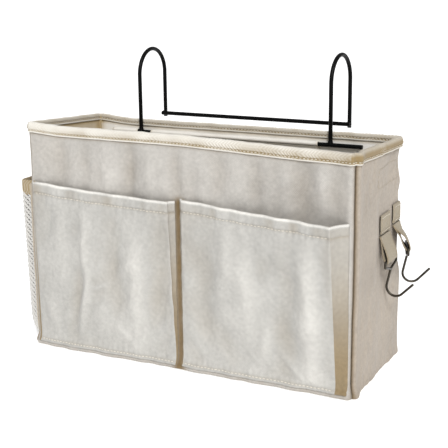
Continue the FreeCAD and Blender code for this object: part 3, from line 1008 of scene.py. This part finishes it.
def pocketCloth(which):
    # One cloth from seam to seam: gusset, fold, face, fold, gusset; rows climb from the stitched lower edge
    # to the mouth and turn down inside as a hem. Depth grows as share^0.92, the face bellies as sin(pi share).
    data = pockets[which]
    hem, roll = pockets["hem"], pockets["hemRoll"]
    low, top = pockets["bottom"] - 3, pockets["top"]
    climb = top - low
    q = np.concatenate([np.linspace(0, climb - hem, pockets["faceRows"], endpoint=False),
                        np.linspace(climb - hem, climb, pockets["hemRows"], endpoint=False),
                        climb + np.linspace(0, math.pi * roll, pockets["rollRows"], endpoint=False),
                        climb + math.pi * roll + np.linspace(0, hem - 1.5, pockets["insideRows"])])
    angle = np.clip((q - climb) / roll, 0, math.pi)
    turnedDown = top + roll * np.sin(angle) - np.clip(q - climb - math.pi * roll, 0, None)
    height = np.where(q < climb, low + q, turnedDown)
    inset = roll * (1 - np.cos(angle))
    share = np.clip((height - low) / climb, 0, 1)
    g, f = pockets["gussetColumns"], pockets["faceColumns"]
    along = np.concatenate([np.linspace(0, 1, g, endpoint=False), 1 + np.linspace(0, 1, f, endpoint=False),
                            2 + np.linspace(0, 1, g)])
    a, h = gridOf(along, height)
    _, s = gridOf(along, share)
    _, turned = gridOf(along, inset)
    seam0, seam1 = data["seams"]
    fold0 = data["foldLow"][0] + (data["foldTop"][0] - data["foldLow"][0]) * s
    fold1 = data["foldLow"][1] + (data["foldTop"][1] - data["foldLow"][1]) * s
    first, face, last = np.clip(a, 0, 1), np.clip(a - 1, 0, 1), np.clip(a - 2, 0, 1)
    x = seam0 + (fold0 - seam0) * first + (fold1 - fold0) * face + (seam1 - fold1) * last
    stand = first * (1 - last)
    depth0, depth1 = data["depth"]
    mouthDepth = depth0 + (depth1 - depth0) * face ** data["gape"]
    depth = pockets["rest"] + (mouthDepth - pockets["rest"]) * s ** 0.92
    belly = 3.4 * np.sin(np.pi * np.clip(s, 0, 1)) * np.sin(np.pi * face)
    pleat = 1.6 * np.sin(np.pi * first) * (a < 1) - 1.6 * np.sin(np.pi * last) * (a > 2)
    x = x + pleat * smooth(0.1, 0.8, s)
    run = np.clip(x, -bag["cornerX"] - 8, bag["cornerX"] + 8)
    _, wallY, _, _ = outline("front", run)
    wallY = wallY - np.maximum(wallSwell("front", run, np.minimum(h, 160)), -0.6)
    y = wallY - 0.7 - (depth - 0.7 + belly) * stand
    y = rounded(y, 2.6)
    x = rounded(x, 2.6)
    folds = ripplesOver(2.0 * creases(x, h, data["folds"]), x, h, pockets["waves"], data["seed"])
    free = smooth(0, 10, h - low) * smooth(0, 4, x - fold0) * smooth(0, 6, fold1 - x)
    y = y - folds * free * (1 - 0.5 * smooth(top - 22, top - 6, h))
    stitchLine = hill(h, top - hem, 1.5)
    pucker = 0.32 * np.sin(2 * np.pi * x / 7.4 + 2 * np.sin(x / 19)) * hill(h, top - hem, 5.0)
    band = smooth(top - hem - 0.4, top - hem + 1.6, h)
    outside = turned < roll
    y = y + np.where(outside, 0.85 * stitchLine - 0.45 * band - pucker, 0.0)
    bottomStitch = hill(h, pockets["bottom"], 1.3)
    lowPucker = 0.22 * np.sin(2 * np.pi * x / 6.1 + 1.5 * np.sin(x / 23)) * hill(h, pockets["bottom"] + 3, 5.0)
    y = y + np.where(outside, 0.5 * bottomStitch - lowPucker, 0.0)
    sag = 0.9 * np.sin(np.pi * face) ** 2 * s
    lift0, lift1 = data["mouth"]
    lift = lift0 + (lift1 - lift0) * face + 0.3 * ripple(x, 0 * x, 30, 30, data["seed"] + 9)
    z = h - sag + lift * s
    tangent = unit(np.stack([np.gradient(x, axis=0), np.gradient(y, axis=0)], -1))
    x = x - tangent[..., 1] * turned
    y = y + tangent[..., 0] * turned
    points = np.stack([x, y, z], -1)
    uv = uvGrid(lengthAlong(points[:, 60, :2]), q)
    # warm paints shade and highlight: the gussets darker towards the bottom and the hem turned down inside
    # darker (painted shade); the mouth edge and the fold ridges pale (painted highlight) and the fold hollows
    # darker (painted shade); the folds at the face's edges and the stitch lines a little darker, and patches of
    # the hem band darker
    onFold = hill(a, 1, 1 / 9) + hill(a, 2, 1 / 9)
    gusset = (a < 0.93) | (a > 2.07)
    hemShade = np.clip(0.1 + 0.6 * ripple(x, 0 * x, 42, 42, data["seed"] + 14), 0, 1) * band * outside
    warm = 0.12 * onFold * smooth(0, 1, s) + gusset * (0.2 + 0.75 * smooth(0.95, 0.1, s))
    warm = warm + 0.2 * stitchLine + 0.2 * bottomStitch + 0.4 * hemShade - 0.75 * hill(h, top, 1.4) * outside
    warm = warm - 0.05 * folds * free * (1 - gusset) + 0.4 * (turned > roll)
    piece = gridPiece(which + "_pocket_cloth", points, cloth["pocketCloth"], uv, warm)
    thicken(piece, 0.9)
    nodes = [which + "_pocket_" + part for part in ("face", "inner_gusset", "outer_gusset")]
    settle(piece, "bag", "canvas", *nodes)
    outsideRows = int((q < climb).sum())
    normal = np.stack([tangent[..., 1], -tangent[..., 0], 0 * x], -1)
    faceOnly = slice(g + 2, g + f - 2)
    lines = []
    for level in (top - hem, pockets["bottom"]):
        row = int(np.argmin(np.abs(height[:outsideRows] - level)))
        lines.append((points[faceOnly, row] + 0.1 * normal[faceOnly, row], normal[faceOnly, row]))
    thread = stitches(which + "_pocket_stitching", lines, cloth["sewingThread"])
    settle(thread, "bag", "canvas")
    for soft in (piece, thread):
        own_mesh(soft)


for which in ("left", "right"):
    pocketCloth(which)
print("front pockets made")

net = {
    "seam": 60.0,
    "fold": nodeBox("net_pocket_net")[1][1] - 1.0,
    "low": nodeBox("net_pocket_net")[0][2],
    "top": nodeBox("net_pocket_band")[1][2],
    "bandHeight": 16.0,
    "bandHalf": 1.15,       # half the band's thickness, and its ribs
    "bandRib": 0.22,
    "depth": -bag["halfWidth"] - nodeBox("net_pocket_band")[0][0],
    "kneeHeight": 24.0,
    "kneeDepth": 11.0,
    "edgeHalf": 3.2,        # half the width of the tape round its sides
    "pitch": 5.3,
    "radius": 1.6,
    "thinRadius": 0.8,
    "clear": 2.6,           # pressed flat, the net lies this far off the wall's plan line
    "inside": (-150, 0, 100),  # a place behind the net, which its normals point away from
}


def netPlace(p, height):
    # Point on the net: p -1..1 across the face, beyond that the gussets back to the wall, with rounded folds.
    # Depth climbs as a quarter sine to the knee, then straight to the mouth.
    knee = net["low"] + net["kneeHeight"]
    climb = np.clip((height - net["low"]) / net["kneeHeight"], 0, 1)
    below = 1.5 + (net["kneeDepth"] - 1.5) * np.sin(np.pi / 2 * climb)
    slope = (net["depth"] - 1.2 - net["kneeDepth"]) / (net["top"] - knee)
    depth = np.where(height < knee, below, net["kneeDepth"] + slope * (height - knee))
    size = np.abs(p)
    past = np.clip(size - 1, 0, 1)
    face = np.clip(size, 0, 1)
    corner = np.sqrt(np.clip(1 - (1 - past) ** 2, 0, 1))
    out = depth * (1 - smooth(0, 1, past) * 0.97)
    out = out - 1.5 * smooth(0.93, 1.0, face) * (past < 1e-6)
    out = out - 1.5 * (1 - past) * (past > 0)
    across = np.sign(p) * (net["fold"] * face + (net["seam"] - net["fold"]) * corner)
    loose = smooth(1, 0.6, size) * smooth(net["low"], net["low"] + 30, height)
    out = out + 1.3 * ripple(across, height, 50, 70, 21) * loose
    x = -bag["halfWidth"] - np.maximum(out, 0.6)
    return np.stack([x, across, height + 0 * across], -1)


def netNormal(p, height, place):
    # Outward normal of the net: a small step across it, crossed with straight up.
    step = netPlace(p + 0.01, height) - place
    normal = unit(np.cross(step, np.array([0, 0, 1.0])))
    return normal * np.sign((normal * (place - np.array(net["inside"]))).sum(-1, keepdims=True))


def netStrands(slant, radius, lift, name):
    # Parallel threads over the net: lines height = slant * across + k * pitch, clipped to the cloth.
    width = 2 * (net["fold"] + net["depth"])
    tall = net["top"] - net["bandHeight"] - net["low"] + 3
    first, last = (-width, tall) if slant > 0 else (0, tall + width)
    lines = []
    t = np.linspace(0, 1, 64)
    for start in np.arange(first, last, net["pitch"]):  # height = start + slant * w, w from 0 to width
        enter, leave = np.clip(sorted(((0 - start) / slant, (tall - start) / slant)), 0, width)
        if leave - enter < 3:
            continue
        w = enter + (leave - enter) * t
        lines.append(np.stack([w, start + slant * w], -1))
    lines = np.array(lines)
    w = lines[..., 0] - width / 2
    onGusset = np.sign(w) * (1 + (np.abs(w) - net["fold"]) / net["depth"])
    p = np.where(np.abs(w) < net["fold"], w / net["fold"], onGusset)
    height = net["low"] + lines[..., 1]
    place = netPlace(p, height)
    normal = netNormal(p, height, place)
    place = place + lift * normal * np.sin(np.pi * lines[..., 0] / net["pitch"])[..., None]
    return tubes(name, place, normal, radius, 5, cloth["netThread"])


def netTape():
    # Mouth tape of the net pocket, a folded band over the net's upper edge: its section is a squared
    # ellipse with slanting ribs, carried along the mouth.
    p = np.concatenate([np.linspace(-1.97, -1, 24, endpoint=False), np.linspace(-1, 1, 170, endpoint=False),
                        np.linspace(1, 1.97, 24)])
    p, a = gridOf(p, np.linspace(0, 2 * np.pi, 40, endpoint=False))
    half = net["bandHeight"] / 2
    level = net["top"] - half + half * squared(np.sin(a), 0.5)
    place = netPlace(p, level)
    far = lengthAlong(place[:, 0])[:, None] + 0 * a
    wave = 0.5 + 0.5 * np.cos(2 * np.pi * (far + level) / tape["ribPitch"])
    out = (net["bandHalf"] + net["bandRib"] * wave) * squared(np.cos(a), 0.6)
    points = place + netNormal(p, level, place) * out[..., None]
    uv = uvGrid(far[:, 0], np.linspace(0, 40, 41))
    return closedPiece("net_pocket_tape", points, cloth["herringboneTape"], uv, 0.7 + 0.3 * (1 - wave))


def netEdgeTapes():
    # Narrow tape that binds the net to the wall along its two sides and its lower edge: a flat ellipse
    # carried along a path whose corners a running mean rounds.
    seam, low, top = net["seam"], net["low"], net["top"]
    down = np.linspace(top, low + 3, 90)
    height = np.concatenate([down, np.full(60, low), down[::-1]])
    across = np.concatenate([np.full(90, -seam), np.linspace(-seam + 2, seam - 2, 60), np.full(90, seam)])
    mean = np.ones(13) / 13
    path = np.stack([np.convolve(np.pad(line, 6, mode="edge"), mean, "valid") for line in (across, height)], -1)
    tangent = unit(np.gradient(path, axis=0))
    i, a = gridOf(np.arange(len(path)), np.linspace(0, 2 * np.pi, 12, endpoint=False))
    offset = net["edgeHalf"] * np.cos(a)
    y = path[i, 0] + tangent[i, 1] * offset
    z = np.maximum(path[i, 1] - tangent[i, 0] * offset, 1.0)
    lift = np.maximum(wallSwell("left", -y, z), -0.6) + 0.9 + 0.8 * np.sin(a)
    points = np.stack([-bag["halfWidth"] - lift, y, z], -1)
    uv = uvGrid(np.arange(len(path)) * 2.0, np.linspace(0, 14, 13))
    return closedPiece("net_pocket_edge_tape", points, cloth["herringboneTape"], uv, 0.5 + 0 * a)


ribs = netStrands(1.0, net["radius"], 0.5, "net_pocket_ribs")
weft = netStrands(-1.0, net["thinRadius"], -0.35, "net_pocket_cross_threads")
mouth = netTape()
edging = netEdgeTapes()
settle(ribs, "bag", "net", "net_pocket_net", "net_pocket_front_gusset", "net_pocket_rear_gusset")
settle(weft, "bag", "net")
settle(mouth, "bag", "binding", "net_pocket_band")
settle(edging, "bag", "binding")
for soft in (ribs, weft, mouth):
    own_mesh(soft)
print("net pocket made")

tabs = {
    "front": {"tilt": 15.0, "yaw": 0.0, "open": 3.6, "wrap": 0.0},
    "rear": {"tilt": 25.0, "yaw": 22.0, "open": 4.6, "wrap": 4.5},    # sewn further round the corner
    "webbing": 1.0,
    "half": 14.0,           # half its width
    "stitchIn": 11.6,       # the stitching's distance from the middle
    "ribPitch": 2.3,
    "untwist": 13.0,        # the strap leaves the wall's own curve over this length
    "columns": 40,
    "around": 90,
}


def jointPlace(name):
    for joint in frame["joints"]:
        if joint["name"] == name:
            return np.array(joint["pos_m"]) / mm
    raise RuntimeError("no joint " + name)


def wallRow(run, height, off):
    # A line of stitching on the right wall: its places and their normals.
    places = wallPoint("right", run, height + 0 * run, off)
    return places, np.tile([1.0, 0, 0], (len(places), 1))


def tabBase(which):
    # Webbing folded at the top and sewn flat: a rounded slab over (run, turn) that follows the wall.
    low, high = nodeBox(which + "_tab_base")
    middle = (low[2] + high[2]) / 2
    half = (high[2] - low[2]) / 2
    centre = jointPlace(which + "_loop_swing")[1] + tabs[which]["wrap"]
    runs = np.linspace(centre - tabs["half"], centre + tabs["half"], tabs["columns"])
    run, a = gridOf(runs, np.linspace(0, 2 * np.pi, 48, endpoint=False))
    z = middle + half * squared(np.sin(a), 0.45)
    edge = smooth(0, 1.2, tabs["half"] - np.abs(run - centre))
    outside = np.cos(a) > 0.2
    rib = 0.16 * np.cos(2 * np.pi * run / tabs["ribPitch"]) * outside
    sewn = 0.45 * (hill(z, low[2] + 2.2, 1.0) + hill(np.abs(run - centre), tabs["stitchIn"], 1.0)) * outside
    off = 1.35 + squared(np.cos(a), 0.5) * (0.5 + 0.5 * edge) + rib - sewn
    uv = uvGrid(runs, np.linspace(0, 44, 49))
    name = which + "_tab_webbing"
    piece = closedPiece(name, wallPoint("right", run, z, off), cloth["webbingTape"], uv, 0.2 + 0.5 * sewn)
    settle(piece, "bag", "webbing", which + "_tab_base")
    stitched = centre + np.linspace(-tabs["stitchIn"], tabs["stitchIn"], 40)
    rows = [wallRow(stitched, level, 2.35) for level in (low[2] + 2.4, high[2] - 3.0)]
    settle(stitches(which + "_tab_stitching", rows, cloth["sewingThread"]), "bag", "webbing")


def tabLoop(which):
    # Teardrop loop of webbing: out = open * sin t * sin(t/2)^1.6, down = length/2 * (1 - cos t),
    # carried across.
    data = tabs[which]
    top = jointPlace(which + "_loop_swing")
    eye = jointPlace(which + "_hook_swing")
    length = np.linalg.norm(eye - top) + 2.6
    half = tabs["half"]
    across = np.linspace(-half, half, 30)
    w, a = gridOf(across, np.linspace(0, 2 * np.pi, tabs["around"], endpoint=False))
    down = length / 2 * (1 - np.cos(a))
    out = data["open"] * np.sin(a) * np.abs(np.sin(a / 2)) ** 1.6
    tilt, yaw = math.radians(data["tilt"]), math.radians(data["yaw"])
    bow = 0.6 * (1 - (w / half) ** 2) * smooth(0, length, down)
    rib = 0.14 * np.cos(2 * np.pi * w / tabs["ribPitch"])
    out = out + rib * np.sign(np.sin(a)) * smooth(0, 3, np.abs(out)) + bow * 0.5
    x = down * math.sin(tilt) + out * math.cos(tilt)
    z = -down * math.cos(tilt) + out * math.sin(tilt)
    px = top[0] + x * math.cos(yaw) - w * math.sin(yaw)
    py = top[1] + x * math.sin(yaw) + w * math.cos(yaw)
    # the first millimetres lie along the wall, then the strap untwists to its own straight line
    off = 1.5 + out * math.cos(tilt) + down * math.sin(tilt)
    hung = wallPoint("right", top[1] + data["wrap"] + w, top[2] + z, off)
    free = smooth(0, tabs["untwist"], down)[..., None]
    points = hung * (1 - free) + np.stack([px, py, top[2] + z], -1) * free
    uv = uvGrid(across, np.linspace(0, 60, tabs["around"] + 1))
    warm = 0.15 + 0.3 * smooth(10, 14, np.abs(w))
    name = which + "_tab_loop_webbing"
    piece = gridPiece(name, points, cloth["webbingTape"], uv, warm, wrapV=True, centre=(top + eye) / 2)
    thicken(piece, tabs["webbing"] * 0.9)
    settle(piece, which + "_loop", "webbing", which + "_tab_loop")


for which in ("front", "rear"):
    tabBase(which)
    tabLoop(which)
print("tabs made")

patch = {"run": (-5.0, 56.0), "height": (186.0, 204.0), "proud": 0.12}  # stitched outline on the right wall


def patchStitching():
    (left, right), (low, high) = patch["run"], patch["height"]
    along, up = np.linspace(left, right, 60), np.linspace(low, high, 20)
    lines = [wallRow(along, level, patch["proud"]) for level in (low, high)]
    lines += [wallRow(run + 0 * up, up, patch["proud"]) for run in (left, right)]
    settle(stitches("side_patch_stitching", lines, cloth["webbingTape"]), "bag", "canvas")


patchStitching()

sleeve = {
    "bore": 2.75,
    "step": 1.4,
    "around": 70,
    "overEnd": 1.5,         # past the foot bar's left end
    "legRoom": 1.2,         # beside the left leg
    "rows": (3.0, 9.0),     # heights of its stitching over its lower edge
}


def sleeveCloth(name, start, end, *nodes):
    # Drop-shaped tube of cloth over (along, turn): round at the bar, closing to a flat flap below.
    low, high = nodeBox("hanger_sleeve")
    bar = nodeBox("foot_bar")
    centreY, centreZ = (bar[0][1] + bar[1][1]) / 2, (bar[0][2] + bar[1][2]) / 2
    radius = sleeve["bore"]
    columns = int((end - start) / sleeve["step"])
    turn = np.linspace(0, 2 * np.pi, sleeve["around"], endpoint=False)
    along, a = gridOf(np.linspace(start, end, columns), turn)
    tail = smooth(0.2, -1, np.cos(a))
    y = centreY - radius * np.sin(a)
    z = centreZ + radius * np.cos(a)
    flat = high[1] - 0.75 - 0.45 * np.sin(a)
    z = z - tail * (centreZ - radius - low[2] - 0.5)
    y = y * (1 - smooth(0, 0.35, tail)) + flat * smooth(0, 0.35, tail)
    loose = 0.3 * (1 + ripple(along, z, 22, 40, 51)) * (np.sin(a) > 0) * (1 - tail)
    points = np.stack([along, y - loose, z + 0.5 * loose], -1)
    uv = uvGrid(along[:, 0], np.linspace(0, 46, sleeve["around"] + 1))
    warm = 0.1 + 0.3 * smooth(4, 0, np.minimum(along - start, end - along))
    centre = (0, centreY, centreZ)
    piece = gridPiece(name, points, cloth["liningCloth"], uv, warm, wrapV=True, centre=centre)
    thicken(piece, 0.35)
    settle(piece, "bag", "lining", *nodes)
    count = max(columns, 4)
    x = np.linspace(start + 2, end - 2, count)
    rows = []
    for up in sleeve["rows"]:
        row = np.stack([x, np.full(count, high[1] - 1.25), np.full(count, low[2] + up)], -1)
        rows.append((row, np.tile([0, -1.0, 0], (count, 1))))
    settle(stitches(name + "_stitching", rows, cloth["sewingThread"]), "bag", "lining")


sleeveLow, sleeveHigh = nodeBox("hanger_sleeve")
barEnd, legSide = nodeBox("foot_bar")[0][0], nodeBox("left_rail_hook")[0][0]
sleeveCloth("foot_bar_sleeve", sleeveLow[0], sleeveHigh[0], "hanger_sleeve")
sleeveCloth("foot_bar_sleeve_end", barEnd - sleeve["overEnd"], legSide - sleeve["legRoom"])
print("sleeve made")


def finishMetal(names, material):
    for name in names:
        mesh = frame["nodes"][name].data
        mesh.materials.clear()
        mesh.materials.append(material)


finishMetal(["front_side_hook", "rear_side_hook"], metal["darkNickel"])
finishMetal(["cross_bar", "foot_bar"], metal["satinBlackWire"])
for end in ("left", "right"):
    finishMetal([end + "_rail_hook", end + "_foot_weld", end + "_bar_weld"], metal["satinBlackWire"])
print("metal finished")

studio = {
    "floorSize": 20.0,
    "floor": (250, 250, 250),
    "glow": 0.4,
    "world": 0.45,
    "sun": {"strength": 2.5, "softness": 18.0, "azimuth": 36.0, "elevation": 42.0},
}


def makeFloor():
    size = studio["floorSize"]
    x, y = gridOf(np.linspace(-size, size, 3), np.linspace(-size, size, 3))
    points = np.stack([x, y, 0 * x], -1) / mm
    values = {"Base Color": linear(studio["floor"]), "Emission Color": (1, 1, 1, 1),
              "Emission Strength": studio["glow"], "Roughness": 0.9}
    material, _, _ = newMaterial("paleFloor", values)
    floor = gridPiece("floor", points, material, np.stack([x, y], -1), centre=(0, 0, -9000))


def makeSun(light):
    # A broad soft light, its azimuth counted from the front like the camera's.
    data = bpy.data.lights.new("key", "SUN")
    data.energy = light["strength"]
    data.angle = math.radians(light["softness"])
    towards = direction(light["azimuth"], light["elevation"])
    linkNew("key", data).rotation_euler = towards.to_track_quat("Z", "Y").to_euler()


def makeWorld():
    world = bpy.data.worlds.new("studio")
    world.use_nodes = True
    back = world.node_tree.nodes["Background"]
    back.inputs["Color"].default_value = (1, 1, 1, 1)
    # The light is dimmer than the white backdrop that the camera sees.
    seen = put(world.node_tree, "ShaderNodeLightPath").outputs["Is Camera Ray"]
    strength = maths(world.node_tree, "MULTIPLY_ADD", seen, 1 - studio["world"], studio["world"])
    world.node_tree.links.new(strength, back.inputs["Strength"])
    bpy.context.scene.world = world
    bpy.context.scene.view_settings.view_transform = "Standard"


makeFloor()
makeSun(studio["sun"])
makeWorld()
print("studio made")

bpy.context.view_layer.update()
